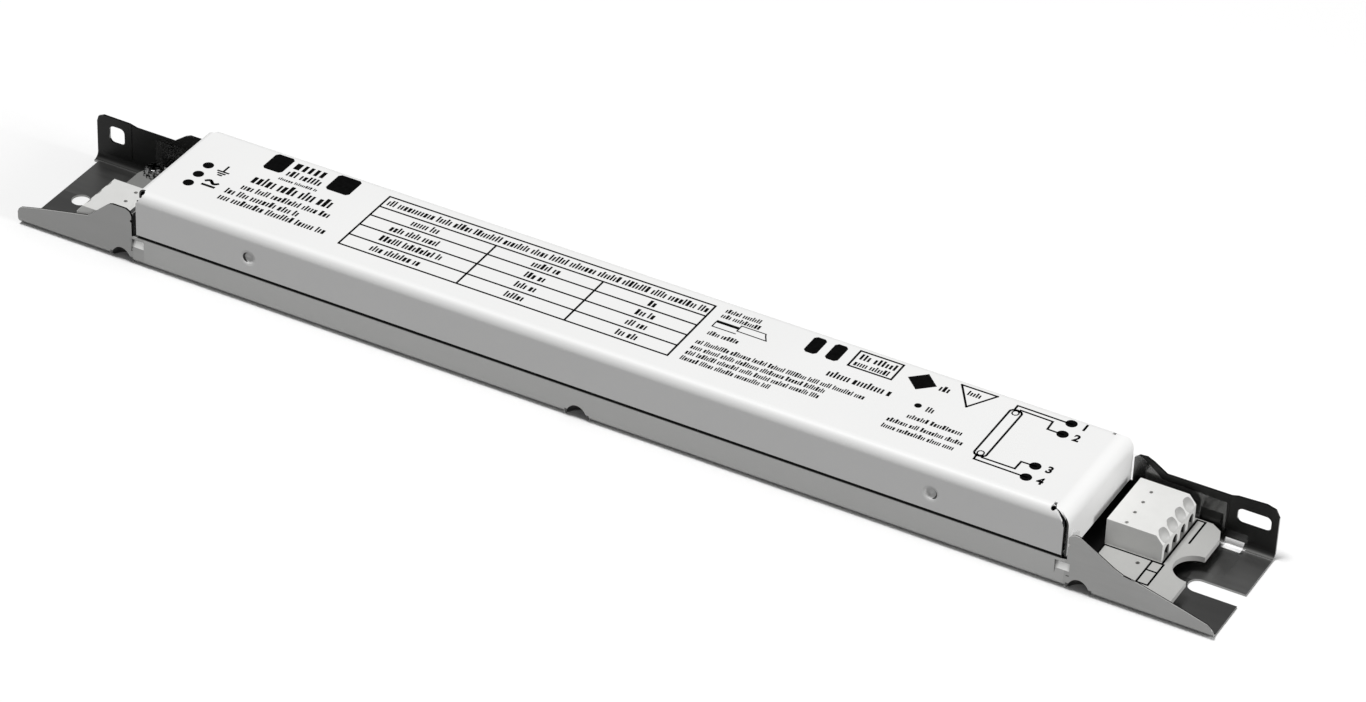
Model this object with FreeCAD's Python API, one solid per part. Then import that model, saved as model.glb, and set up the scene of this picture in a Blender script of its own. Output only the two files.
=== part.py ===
import FreeCAD, Part
import math
import os

# Linear electronic ballast for one fluorescent tube.
# A folded galvanised tray carries a circuit board, and a folded white cover closes the middle.
# Millimetres. X runs along the tray toward the lamp terminals, Y across toward the tall wall,
# Z up. The origin is the middle of the tray's underside.

os.makedirs("parts", exist_ok=True)
V = FreeCAD.Vector

# Casing as a whole
body_length = 360.0
body_width = 40.0
body_height = 23.4
half_l = body_length / 2.0
half_w = body_width / 2.0

# Sheets, films and running clearances
tray_sheet = 0.6
cover_sheet = 0.5
film = 0.25
slide_gap = 0.05
edge_gap = 0.15

# Tray. Places along it are measured from its two ends, toward the middle.
tray_bend = 2.0
plain_wall = 9.1
joggle_rise = 0.65
tucked_below_top = 5.9
left_floor_cutback = 1.4
mains_bay = 37.6
lamp_bay = 40.9
fixing_line = -1.7
fixing_hole_in = 8.4
fixing_hole_d = 5.4
fixing_slot_in = 12.0
fixing_slot_w = 5.6
side_hole_in = 6.6
side_hole_z = 9.6
side_hole_w = 5.0
side_hole_h = 5.4
side_slot_in = 6.7
side_slot_z = 9.9
side_slot_w = 9.4
side_slot_h = 4.4
side_corner = 1.5
dent_size = 4.2
dent_deep = 1.2
dent_z = 6.2
near_dent_mains = 39.4
near_dent_lamp = 42.1
far_dent_lamp = 18.0
dart_r = 3.5
dart_deep = 1.9
dart_mains = 34.0
dart_middle = -3.0
dart_lamp = 37.2
crease_mains = 11.8
crease_lamp = 13.6
window_in = 11.2
window_w = 5.4
window_reach = 3.6

# Cover
cover_from_mains = 38.4
cover_from_lamp = 41.4
cover_bend = 3.0
right_fold = 4.5
left_fold = 2.0
panel_foot = 10.1
flange_foot = 9.8
panel_inset_left = 0.75
panel_inset_right = 1.2
left_flange_inset = 1.8
relief_r = 0.75
dimple_inset = 36.8
dimple_lift = -0.15
dimple_r = 1.9

# Circuit board
board_from_mains = 18.3
board_from_lamp = 13.1
board_thick = 1.6
board_under = 3.7
notch_r = 5.9

# Terminal blocks
pole_pitch = 5.0
block_spare = 0.7
block_deep = 15.9
block_high = 7.7
lamp_block_gap = 3.6
lamp_block_inset = 1.2
mains_block_inset = 0.2
mains_block_setback = 0.8
chamfer_in = 2.1
chamfer_down = 2.5
scoop_r = 2.45
scoop_out = 1.2
entry_w = 3.2
entry_h = 3.7

# Earth screw
earth_in_x = 4.1
earth_in_y = 4.2
screw_r = 1.25
head_r = 2.75
head_high = 1.9
washer_r = 3.3
washer_thick = 0.6
washer_teeth = 14
pillar_r = 2.75

# Places that follow from those sizes
left_wing_edge = mains_bay - half_l
right_wing_edge = half_l - lamp_bay
fixing_hole_x = fixing_hole_in - half_l
fixing_slot_x = half_l - fixing_slot_in
side_hole_x = side_hole_in - half_l
side_slot_x = half_l - side_slot_in
near_dents = (near_dent_mains - half_l, half_l - near_dent_lamp)
far_dent = half_l - far_dent_lamp
darts = (dart_mains - half_l, dart_middle, half_l - dart_lamp)
window_x = half_l - window_in
cover_left = cover_from_mains - half_l
cover_right = half_l - cover_from_lamp
panel_left = cover_left + panel_inset_left
panel_right = cover_right - panel_inset_right
left_flange_half = half_w - left_flange_inset
dimples = (cover_left + dimple_inset, cover_right - dimple_inset - 1.5)
dimple_z = (panel_foot + body_height - cover_bend) / 2.0 + dimple_lift
tucked_wall_top = body_height - tucked_below_top
inner_w = half_w - tray_sheet
panel_in = half_w - cover_sheet
tucked_out = panel_in - slide_gap
tucked_in = tucked_out - tray_sheet
film_out = tucked_in - slide_gap
film_in = film_out - film
board_left = board_from_mains - half_l
board_right = half_l - board_from_lamp
board_half = film_in - edge_gap
board_top = board_under + board_thick
block_top = board_top + block_high
lamp_block_back = cover_right + lamp_block_gap
lamp_block_edge = board_half - lamp_block_inset - 4 * pole_pitch - block_spare
mains_block_front = board_left + mains_block_setback
mains_block_edge = mains_block_inset - inner_w + 3 * pole_pitch + block_spare
earth_x = board_left + earth_in_x
earth_y = board_half - earth_in_y
cover_inside = body_height - cover_sheet
room = cover_inside - board_top
lead_r = 0.4
lead_hole = 0.6
lead_foot = board_under - 1.4


def box(x0, x1, y0, y1, z0, z1):
    return Part.makeBox(x1 - x0, y1 - y0, z1 - z0, V(x0, y0, z0))


def rod(r, h, x, y, z, axis=V(0, 0, 1)):
    return Part.makeCylinder(r, h, V(x, y, z), axis)


def slim(r, h, x, y, z):
    # Thin round lead or hole, given six faces because there are many of them.
    ring = [V(x + r * math.cos(math.radians(60.0 * k)), y + r * math.sin(math.radians(60.0 * k)), z) for k in range(7)]
    return Part.Face(Part.makePolygon(ring)).extrude(V(0, 0, h))


def prism_xz(points, y0, y1):
    wire = Part.makePolygon([V(x, y0, z) for x, z in points] + [V(points[0][0], y0, points[0][1])])
    return Part.Face(wire).extrude(V(0, y1 - y0, 0))


def prism_yz(points, x0, x1):
    wire = Part.makePolygon([V(x0, y, z) for y, z in points] + [V(x0, points[0][0], points[0][1])])
    return Part.Face(wire).extrude(V(x1 - x0, 0, 0))


def prism_xy(points, z0, z1):
    wire = Part.makePolygon([V(x, y, z0) for x, y in points] + [V(points[0][0], points[0][1], z0)])
    return Part.Face(wire).extrude(V(0, 0, z1 - z0))


def along(shape, direction, radius):
    # Rounds the straight edges that lie along a direction.
    edges = []
    for e in shape.Edges:
        a = e.Vertexes[0].Point
        b = e.Vertexes[-1].Point
        run = b.sub(a)
        if run.Length > 1e-6 and abs(run.normalize().dot(direction)) > 0.999:
            edges.append(e)
    return shape.makeFillet(radius, edges)


def quarter(r_in, r_out, cx, cz, y0, y1, sx, sz):
    # Quarter ring about an axis along Y, in the quadrant named by the two signs.
    ring = rod(r_out, y1 - y0, cx, y0, cz, V(0, 1, 0)).cut(rod(r_in, y1 - y0, cx, y0, cz, V(0, 1, 0)))
    x_far = cx + sx * (r_out + 1.0)
    z_far = cz + sz * (r_out + 1.0)
    return ring.common(box(min(cx, x_far), max(cx, x_far), y0, y1, min(cz, z_far), max(cz, z_far)))


def rounded_hole_y(cx, cz, w, h, y0, y1):
    plate = box(cx - w / 2.0, cx + w / 2.0, y0, y1, cz - h / 2.0, cz + h / 2.0)
    return along(plate, V(0, 1, 0), side_corner)


def channel(half_out, half_in, z_low, z_sheet, r_in, r_out, top, x0, x1):
    # Folded channel: a floor and two upright walls with rounded bends.
    profile = []
    steps = 8
    for k in range(steps + 1):
        a = math.pi * (1.0 + 0.5 * k / steps)
        profile.append((-half_out + r_out + r_out * math.cos(a), z_low + r_out + r_out * math.sin(a)))
    for k in range(steps + 1):
        a = math.pi * (1.5 + 0.5 * k / steps)
        profile.append((half_out - r_out + r_out * math.cos(a), z_low + r_out + r_out * math.sin(a)))
    profile.append((half_out, top))
    profile.append((half_in, top))
    for k in range(steps + 1):
        a = math.pi * (2.0 - 0.5 * k / steps)
        profile.append((half_in - r_in + r_in * math.cos(a), z_sheet + r_in + r_in * math.sin(a)))
    for k in range(steps + 1):
        a = math.pi * (1.5 - 0.5 * k / steps)
        profile.append((-half_in + r_in + r_in * math.cos(a), z_sheet + r_in + r_in * math.sin(a)))
    profile.append((-half_in, top))
    profile.append((-half_out, top))
    return prism_yz(profile, x0, x1)


# Wall tops as (x, z). The wings fall away from the cover's ends to the tray's ends.
t = tucked_wall_top
near_top = [
    (-half_l, 0.0), (-half_l, 4.3), (0.4 - half_l, 5.3), (1.2 - half_l, 5.9), (8.0 - half_l, 7.6),
    (left_wing_edge - 14.4, 10.8), (left_wing_edge - 8.0, t - 1.1), (left_wing_edge - 7.0, t - 0.4),
    (left_wing_edge - 6.0, t - 0.1), (left_wing_edge - 1.8, t - 0.1), (left_wing_edge - 0.6, t - 0.7),
    (left_wing_edge, t - 1.9), (left_wing_edge, plain_wall), (right_wing_edge, plain_wall),
    (right_wing_edge, t - 1.3), (right_wing_edge + 0.6, t - 0.5), (right_wing_edge + 1.6, t - 0.1),
    (right_wing_edge + 2.9, t - 0.2), (right_wing_edge + 4.3, t - 1.0), (right_wing_edge + 13.0, 11.3),
    (right_wing_edge + 15.5, 10.2), (right_wing_edge + 19.5, 9.5), (half_l - 8.3, 6.0),
    (half_l - 1.7, 4.1), (half_l - 0.5, 3.2), (half_l, 2.0), (half_l, 0.0)]
far_top = [
    (-half_l, 0.0), (-half_l, 12.6), (0.5 - half_l, 14.2), (2.2 - half_l, 15.0), (10.8 - half_l, 14.9),
    (13.2 - half_l, 14.3), (left_wing_edge - 11.9, 14.3), (left_wing_edge - 8.2, t - 0.5),
    (left_wing_edge - 6.6, t + 0.2), (left_wing_edge - 1.2, t + 0.2), (left_wing_edge, t - 0.9),
    (left_wing_edge, plain_wall), (right_wing_edge, plain_wall), (right_wing_edge, t - 0.7),
    (right_wing_edge + 1.3, t + 0.4), (right_wing_edge + 3.5, t + 0.6), (right_wing_edge + 5.5, t - 0.3),
    (right_wing_edge + 9.3, 14.8), (half_l - crease_lamp, 14.9), (half_l - crease_mains, 15.4),
    (half_l - 3.8, 15.8), (half_l - 1.2, 15.1), (half_l, 12.9), (half_l, 0.0)]


def dent_pair(side, x):
    # Pressed wedge that holds the board down: a long ramp that rises inward to a short steep brow.
    # Gives the metal to add inside and the hollow outside.
    y_in = side * inner_w
    y_out = side * half_w
    rise = dent_size / 2.0
    full = rise + 0.4
    ridge = dent_z + 0.5 * rise
    bump = prism_yz([(y_in + side * 0.2, dent_z - full), (y_in - side * dent_deep, ridge),
                     (y_in + side * 0.2, dent_z + full)], x - rise - 0.4, x + rise + 0.4)
    hollow = prism_yz([(y_out + side * 0.01, dent_z - rise), (y_out - side * dent_deep, ridge),
                       (y_out + side * 0.01, dent_z + rise)], x - rise, x + rise)
    return bump, hollow


def dart_pair(side, x):
    # Round-bottomed gusset pressed across the bottom bend: the metal inside and the hollow outside.
    apex = (tray_bend + tray_sheet) * (1.0 - math.sqrt(0.5))
    drop = (dart_r - dart_deep) * math.sqrt(0.5)
    y_c = side * (half_w - apex + drop)
    z_c = apex - drop
    slant = V(0, side, 1).normalize()
    foot = V(x, y_c, z_c).sub(V(slant).multiply(3.0 * dart_r))
    long = 6.0 * dart_r
    rib = Part.makeCylinder(dart_r + tray_sheet, long, foot, slant)
    groove = Part.makeCylinder(dart_r, long, foot, slant)
    reach = 3.0 * dart_r
    y_a = side * (inner_w + 0.1)
    y_b = side * (inner_w - reach)
    rib = rib.common(box(x - reach, x + reach, min(y_a, y_b), max(y_a, y_b), tray_sheet - 0.1, reach))
    return rib, groove


def tray():
    shape = channel(half_w, inner_w, 0.0, tray_sheet, tray_bend, tray_bend + tray_sheet, body_height,
                    -half_l, half_l)
    near = shape.common(prism_xz(near_top, -half_w - 1.0, 0.0))
    far = shape.common(prism_xz(far_top, 0.0, half_w + 1.0))
    shape = near.fuse(far)
    low = plain_wall - 0.5
    jog_low = plain_wall
    jog_high = plain_wall + joggle_rise
    for side in (-1.0, 1.0):
        tucked = prism_yz([
            (side * inner_w, low), (side * half_w, low), (side * half_w, jog_low),
            (side * tucked_out, jog_high), (side * tucked_out, tucked_wall_top),
            (side * tucked_in, tucked_wall_top), (side * tucked_in, jog_high - 0.3),
            (side * inner_w, jog_low - 0.3)], panel_left + 0.4, panel_right - 0.2)
        shape = shape.fuse(tucked)
        for x in dimples:
            hole = rod(dimple_r + 0.3, 4.0, x, side * (half_w - 2.0) - 2.0, dimple_z, V(0, 1, 0))
            shape = shape.cut(hole)
    dents = [(-1.0, x) for x in near_dents] + [(1.0, far_dent)]
    for side, x in dents:
        bump, hollow = dent_pair(side, x)
        shape = shape.fuse(bump).cut(hollow)
    for side in (-1.0, 1.0):
        for x in darts:
            rib, groove = dart_pair(side, x)
            shape = shape.fuse(rib).cut(groove)
    # Floor cut back at the left, then the two fixing openings
    cut_half = inner_w - tray_bend
    shape = shape.cut(box(-half_l - 1.0, -half_l + left_floor_cutback, -cut_half, cut_half, -1.0, 2.0))
    shape = shape.cut(rod(fixing_hole_d / 2.0, 3.0, fixing_hole_x, fixing_line, -1.0))
    shape = shape.cut(rod(fixing_slot_w / 2.0, 3.0, fixing_slot_x, fixing_line, -1.0))
    shape = shape.cut(box(fixing_slot_x, half_l + 1.0, fixing_line - fixing_slot_w / 2.0,
                          fixing_line + fixing_slot_w / 2.0, -1.0, 2.0))
    # Openings of the tall wall and the window through its bend
    shape = shape.cut(rounded_hole_y(side_hole_x, side_hole_z, side_hole_w, side_hole_h, half_w - 2.0, half_w + 1.0))
    shape = shape.cut(rounded_hole_y(side_slot_x, side_slot_z, side_slot_w, side_slot_h, half_w - 2.0, half_w + 1.0))
    shape = shape.cut(box(window_x - window_w / 2.0, window_x + window_w / 2.0,
                          half_w - window_reach, half_w + 1.0, -1.0, 2.0))
    # Pressed crease lines of the tall wall, and the small notches in the wing edges
    for x in (crease_mains - half_l, half_l - crease_lamp):
        shape = shape.cut(box(x - 0.35, x + 0.35, inner_w - 1.0, inner_w + 0.12, 3.2, body_height))
    for x in (left_wing_edge, right_wing_edge):
        shape = shape.cut(rod(0.45, 3.0, x, -half_w - 1.0, tucked_wall_top - 3.6, V(0, 1, 0)))
    return shape.removeSplitter()


def cover():
    top_z = cover_inside
    left_centre = cover_left + left_fold
    right_centre = cover_right - right_fold
    flat_half = half_w - cover_bend
    shape = box(left_centre, right_centre, -flat_half, flat_half, top_z, body_height)
    # Long bends and side panels, with their curved upper corners
    z_bend = body_height - cover_bend
    corner = []
    inner_r = right_fold - cover_sheet - 0.8
    z_c = body_height - right_fold
    for k in range(9):
        a = math.pi / 2.0 * (1.0 - k / 8.0)
        corner.append((right_centre - 0.9 + inner_r * math.cos(a) + 0.9 * (1.0 - math.sin(a)),
                       z_c + inner_r * math.sin(a) + 0.8 * math.sin(a)))
    mask = [(left_centre + 0.3, body_height + 1.0), (right_centre - 0.9, body_height + 1.0)] + corner
    mask += [(panel_right, z_c - 0.2), (panel_right, panel_foot), (panel_left, panel_foot),
             (panel_left, body_height - 3.1), (left_centre + 0.3, body_height - 1.1)]
    for side in (-1.0, 1.0):
        y_c = side * flat_half
        span = cover_right - cover_left
        ring = rod(cover_bend, span, cover_left, y_c, z_bend, V(1, 0, 0))
        ring = ring.cut(rod(cover_bend - cover_sheet, span, cover_left, y_c, z_bend, V(1, 0, 0)))
        y_a = min(y_c, side * (half_w + 1.0))
        y_b = max(y_c, side * (half_w + 1.0))
        ring = ring.common(box(cover_left, cover_right, y_a, y_b, z_bend, body_height + 1.0))
        p_a = min(side * panel_in, side * half_w)
        p_b = max(side * panel_in, side * half_w)
        panel = box(cover_left, cover_right, p_a, p_b, panel_foot, z_bend)
        both = ring.fuse(panel).common(prism_xz(mask, y_a, y_b))
        shape = shape.fuse(both)
    # End folds and flanges
    wide = panel_in
    fold = quarter(right_fold - cover_sheet, right_fold, right_centre, z_c, -wide, wide, 1, 1)
    # The fold keeps the rounded shoulders of the cover where it leaves the flat top
    shoulder = along(box(right_centre - 1.0, cover_right + 1.0, -half_w, half_w, flange_foot, body_height),
                     V(1, 0, 0), cover_bend)
    shape = shape.fuse(fold.common(shoulder))
    shape = shape.fuse(box(cover_right - cover_sheet, cover_right, -wide, wide, flange_foot, z_c))
    z_l = body_height - left_fold
    lw = left_flange_half
    fold = quarter(left_fold - cover_sheet, left_fold, left_centre, z_l, -flat_half, flat_half, -1, 1)
    shape = shape.fuse(fold)
    shape = shape.fuse(box(cover_left, cover_left + cover_sheet, -flat_half, flat_half, flange_foot, z_l))
    shape = shape.fuse(box(cover_left, cover_left + cover_sheet, -lw, lw, flange_foot, z_l - 1.2))
    # Relief holes at the ends of the corner slits
    for side in (-1.0, 1.0):
        shape = shape.cut(rod(relief_r, 4.0, right_centre - 0.4, side * (flat_half + 1.6), z_bend))
        shape = shape.cut(rod(relief_r, 4.0, left_centre - 0.1, side * (flat_half + 1.2), z_bend + 0.4))
    # Round snap dimples in the side panels
    for side in (-1.0, 1.0):
        for x in dimples:
            y_out = side * half_w
            pit = Part.makeCone(dimple_r, dimple_r - 0.7, 0.6, V(x, y_out, dimple_z), V(0, -side, 0))
            bump = Part.makeCone(dimple_r, dimple_r - 0.7, 0.6, V(x, side * panel_in, dimple_z), V(0, -side, 0))
            shape = shape.fuse(bump).cut(pit)
    return shape.removeSplitter()


def liner():
    bend = 2.0
    left = board_left + 1.7
    right = board_right + 5.5
    leg = tucked_wall_top + 0.8
    shape = channel(film_out, film_in, tray_sheet, tray_sheet + film, bend - film, bend, leg, left, right)
    tall_l = left_wing_edge - 1.0
    tall_r = right_wing_edge + 2.2
    near_end = board_right - 2.5
    far_end = board_right - 1.1
    near_line = [(left, 0.0), (left, 2.4), (tall_l, 2.4), (tall_l, leg), (tall_r, leg), (tall_r, 2.4),
                 (near_end, 2.4), (near_end, 0.0)]
    far_line = [(left, 0.0), (left, 13.2), (tall_l, 13.2), (tall_l, leg), (tall_r, leg), (tall_r + 2.0, leg - 1.4),
                (tall_r + 6.4, 13.4), (far_end, 13.0), (far_end, 5.0), (right, 5.0), (right, 0.0)]
    parting = 0.22 * half_w
    near = shape.common(prism_xz(near_line, -half_w, parting))
    far = shape.common(prism_xz(far_line, parting, half_w))
    shape = near.fuse(far)
    # Slits for the end flanges of the cover
    for a, b in ((cover_left, cover_left + cover_sheet), (cover_right - cover_sheet, cover_right)):
        shape = shape.cut(box(a - 0.3, b + 0.3, -half_w, half_w, flange_foot - 0.5, body_height))
    # Windows round the pressed dents and the gussets, and a hole round the earth pillar
    for x in near_dents:
        shape = shape.cut(box(x - 3.2, x + 3.2, -half_w, -film_in + 1.0, dent_z - 3.2, dent_z + 3.0))
    shape = shape.cut(box(far_dent - 3.2, far_dent + 3.2, film_in - 1.0, half_w, dent_z - 3.2, dent_z + 3.0))
    for x in darts:
        for side in (-1.0, 1.0):
            clear = dart_r + tray_sheet + 0.4
            a = side * (inner_w - clear - 1.0)
            b = side * half_w
            shape = shape.cut(box(x - clear, x + clear, min(a, b), max(a, b), 0.0, clear + 1.0))
    shape = shape.cut(rod(pillar_r + 0.5, 3.0, earth_x, earth_y, 0.0))
    return shape.removeSplitter()


leads = []


def lead(x, y, top=None):
    # Tinned lead through its hole in the board.
    leads.append((x, y))
    z_top = board_top if top is None else top
    return slim(lead_r, z_top - lead_foot, x, y, lead_foot)


def with_leads(body, points):
    for x, y in points:
        body = body.fuse(lead(x, y, board_top + 0.2))
    return body


def spacer(x):
    # Bar between the liner and the board, on two pads, with two round studs through the board.
    z0 = tray_sheet + film
    pad_end = 0.82 * board_half
    bar = box(x - 2.0, x + 2.0, -pad_end, pad_end, z0, board_under)
    for side in (-1.0, 1.0):
        arch = side * 0.35 * board_half
        bar = bar.cut(box(x - 2.0, x + 2.0, arch - 0.27 * board_half, arch + 0.27 * board_half, z0 + 1.2, board_under))
        bar = bar.fuse(slim(1.1, board_thick + 0.8, x, side * stud_y, board_under - 0.2))
    return bar


stud_y = 0.74 * board_half


def block(poles, front, direction, y_edge, y_dir, test_x, test_ys):
    # Housing with a row of wire entries; direction points out of the entries.
    wide = poles * pole_pitch + block_spare
    back = front - direction * block_deep
    profile = [(back, board_top), (front, board_top), (front, block_top - chamfer_down),
               (front - direction * chamfer_in, block_top), (back, block_top)]
    y_a = min(y_edge, y_edge + y_dir * wide)
    y_b = max(y_edge, y_edge + y_dir * wide)
    shape = prism_xz(profile, y_a, y_b)
    floor_z = board_top
    for k in range(poles):
        yc = y_a + block_spare / 2.0 + pole_pitch * (k + 0.5)
        # Chamber for the clamp, open toward the board
        c0 = back + direction * 1.4
        c1 = front - direction * 3.2
        shape = shape.cut(box(min(c0, c1), max(c0, c1), yc - 1.8, yc + 1.8, floor_z - 1.0, block_top - 1.1))
        # Arched wire entry at the foot, and the dished guide in the slope above it
        e0 = front - direction * 3.6
        e1 = front + direction * 1.0
        crown = floor_z + entry_h - entry_w / 2.0
        shape = shape.cut(box(min(e0, e1), max(e0, e1), yc - entry_w / 2.0, yc + entry_w / 2.0, floor_z - 1.0, crown))
        shape = shape.cut(rod(entry_w / 2.0, abs(e1 - e0), min(e0, e1), yc, crown, V(1, 0, 0)))
        out = V(direction * chamfer_down, 0, chamfer_in).normalize().multiply(scoop_out)
        middle = V(front - direction * chamfer_in / 2.0, yc, block_top - chamfer_down / 2.0)
        shape = shape.cut(Part.makeSphere(scoop_r, middle.add(out)))
    for y in test_ys:
        shape = shape.cut(rod(0.55, 2.4, test_x, y, block_top - 1.2))
    # Pegs that locate the housing in the board
    peg_x = back + direction * 0.7
    for y in (y_a + 1.2, y_b - 1.2):
        shape = shape.fuse(slim(0.5, board_thick - 0.1, peg_x, y, board_under + 0.1))
        pegs.append((peg_x, y))
    return shape


pegs = []


def clamp(front, direction, yc):
    # Cage spring: a foot on the board, a back, a roof and a sprung tongue, with a soldered lead.
    gauge = 0.4
    x_back = front - direction * (block_deep - 2.0)
    x_fore = front - direction * 4.0
    z0 = board_top
    z1 = block_top - 1.5
    d = direction
    line = [(x_fore, z0), (x_back, z0), (x_back, z1), (x_fore - d * 2.0, z1), (x_fore - d * 6.2, z0 + 1.6),
            (x_fore - d * 6.6, z0 + 1.9), (x_fore - d * 2.9, z1 - gauge), (x_back + d * gauge, z1 - gauge),
            (x_back + d * gauge, z0 + gauge), (x_fore, z0 + gauge)]
    strip = prism_xz(line, yc - 1.3, yc + 1.3)
    pin = box(x_back + d * 4.0 - 0.3, x_back + d * 4.0 + 0.3, yc - 0.3, yc + 0.3, lead_foot, z0 + 0.1)
    leads.append((x_back + d * 4.0, yc))
    return strip.fuse(pin)


def earth_pillar():
    return rod(pillar_r, board_under - tray_sheet, earth_x, earth_y, tray_sheet).cut(
        rod(screw_r + 0.05, 6.0, earth_x, earth_y, 0.0))


def earth_washer():
    # Lock washer with a saw-toothed rim.
    rim = []
    for k in range(2 * washer_teeth):
        a = math.pi * k / washer_teeth
        r = washer_r - 0.45 * (k % 2)
        rim.append((earth_x + r * math.cos(a), earth_y + r * math.sin(a)))
    ring = prism_xy(rim, board_top, board_top + washer_thick)
    return ring.cut(rod(screw_r + 0.45, 2.0, earth_x, earth_y, board_top - 0.5))


def earth_screw():
    z = board_top + washer_thick
    brow = 0.7
    head = rod(head_r, head_high - brow, earth_x, earth_y, z)
    head = head.fuse(Part.makeCone(head_r, head_r - brow, brow, V(earth_x, earth_y, z + head_high - brow)))
    cross = box(earth_x - 1.6, earth_x + 1.6, earth_y - 0.35, earth_y + 0.35, z + 0.7, z + 3.0)
    cross = cross.fuse(box(earth_x - 0.35, earth_x + 0.35, earth_y - 1.6, earth_y + 1.6, z + 0.7, z + 3.0))
    turned = cross.copy()
    turned.rotate(V(earth_x, earth_y, 0), V(0, 0, 1), 20.0)
    return head.cut(turned).fuse(rod(screw_r, z - tray_sheet - 0.4, earth_x, earth_y, tray_sheet + 0.4))


def cased(x0, x1, y, deep, high, count=2):
    # Moulded case on a row of leads, with softened upright corners.
    body = box(x0, x1, y - deep / 2.0, y + deep / 2.0, board_top, board_top + high)
    body = along(body, V(0, 0, 1), 0.08 * deep)
    inset = 0.1 * (x1 - x0)
    step = (x1 - x0 - 2.0 * inset) / (count - 1)
    return with_leads(body, [(x0 + inset + step * k, y) for k in range(count)])


def ferrite_pair(xc, yc, long, wide, high, leg, mid, stand=0.0):
    # Two E halves round a coil: back walls at both ends of X, outer legs above and below the coil.
    x0 = xc - long / 2.0
    x1 = xc + long / 2.0
    y0 = yc - wide / 2.0
    y1 = yc + wide / 2.0
    z0 = board_top + stand
    z1 = z0 + high
    body = box(x0, x1, y0, y1, z0, z1)
    hole_z0 = z0 + leg
    hole_z1 = z1 - leg
    body = body.cut(box(x0 + leg, x1 - leg, y0 - 1.0, y1 + 1.0, hole_z0, hole_z1))
    core_mid = (hole_z0 + hole_z1) / 2.0
    body = body.fuse(box(x0, x1, y0, y1, core_mid - mid / 2.0, core_mid + mid / 2.0))
    return body, core_mid


def coil_set(xc, yc, long, wide, high, leg, mid, rows):
    # Core, bobbin and winding of one wound part.
    stand = 1.2
    core, z_mid = ferrite_pair(xc, yc, long, wide, high, leg, mid, stand)
    gap = 0.2
    inner_x = long / 2.0 - leg - gap
    hole_half = (high - 2.0 * leg) / 2.0
    tube = box(xc - inner_x, xc + inner_x, yc - wide / 2.0 - 0.9, yc + wide / 2.0 + 0.9,
               z_mid - mid / 2.0 - 0.9, z_mid + mid / 2.0 + 0.9)
    tube = tube.cut(box(xc - long, xc + long, yc - wide / 2.0 - gap * 0.5, yc + wide / 2.0 + gap * 0.5,
                        z_mid - mid / 2.0 - gap * 0.5, z_mid + mid / 2.0 + gap * 0.5))
    cheeks = tube
    outer_y = wide / 2.0 + 0.228 * board_half
    for side in (-1.0, 1.0):
        x_a = xc + side * inner_x
        x_b = xc + side * (inner_x - 0.8)
        cheek = box(min(x_a, x_b), max(x_a, x_b), yc - outer_y, yc + outer_y,
                    z_mid - hole_half + gap, z_mid + hole_half - gap)
        cheek = cheek.cut(box(xc - long, xc + long, yc - wide / 2.0 - gap * 0.5, yc + wide / 2.0 + gap * 0.5,
                              z_mid - mid / 2.0 - gap * 0.5, z_mid + mid / 2.0 + gap * 0.5))
        cheeks = cheeks.fuse(cheek)
    # Feet of the bobbin stand on the board beside the core
    for side in (-1.0, 1.0):
        y_a = yc + side * (wide / 2.0 + 0.3)
        y_b = yc + side * outer_y
        foot = box(xc - inner_x, xc + inner_x, min(y_a, y_b), max(y_a, y_b), board_top, z_mid - hole_half + gap + 0.2)
        cheeks = cheeks.fuse(foot)
        for k in range(rows):
            px = xc - inner_x + 1.4 + k * (2.0 * inner_x - 2.8) / (rows - 1)
            cheeks = cheeks.fuse(lead(px, yc + side * (outer_y - 1.2), board_top + 0.3))
    wire_x = inner_x - 0.8 - 0.05
    low = max(z_mid - hole_half + gap + 0.25, z_mid - mid / 2.0 - 3.4)
    top = min(z_mid + hole_half - gap - 0.1, z_mid + mid / 2.0 + 3.4)
    wound = box(xc - wire_x, xc + wire_x, yc - outer_y + 0.5, yc + outer_y - 0.5, low, top)
    wound = along(wound, V(1, 0, 0), 1.0)
    wound = wound.cut(box(xc - long, xc + long, yc - wide / 2.0 - 0.95, yc + wide / 2.0 + 0.95,
                          z_mid - mid / 2.0 - 0.95, z_mid + mid / 2.0 + 0.95))
    return core, cheeks, wound


def fuse_part(x, y):
    return with_leads(rod(4.2, 7.6, x, y, board_top), [(x - 2.5, y), (x + 2.5, y)])


def varistor(x, y):
    disc = rod(4.6, 4.0, x, y - 2.0, board_top + 5.4, V(0, 1, 0))
    return disc.fuse(lead(x - 2.5, y, board_top + 3.0)).fuse(lead(x + 2.5, y, board_top + 3.0))


def bulk_capacitor(x0, x1, y, r):
    z = board_top + r
    can = rod(r, x1 - x0, x0, y, z, V(1, 0, 0))
    groove = rod(r + 1.0, 1.2, x0 + 3.0, y, z, V(1, 0, 0)).cut(rod(r - 0.5, 1.2, x0 + 3.0, y, z, V(1, 0, 0)))
    can = can.cut(groove)
    for side in (-1.0, 1.0):
        stub = rod(lead_r, 1.6, x0 - 1.2, y + side * 3.0, z - 3.0, V(1, 0, 0))
        can = can.fuse(stub).fuse(lead(x0 - 1.2, y + side * 3.0, z - 2.6))
    return can


def transistor(x, y):
    # Upright three-lead power package; the metal tab faces the tall wall.
    body = box(x - 5.0, x + 5.0, y - 1.7, y + 1.4, board_top + 2.6, board_top + 0.62 * room)
    tab = box(x - 5.0, x + 5.0, y + 1.4, y + 2.7, board_top + 2.6, board_top + 0.93 * room)
    tab = tab.cut(box(x - 1.8, x + 1.8, y, y + 4.0, board_top + 0.76 * room, board_top + 0.86 * room))
    body = body.fuse(tab)
    for k in (-1, 0, 1):
        body = body.fuse(lead(x + 2.54 * k, y, board_top + 2.8))
    return body


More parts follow.
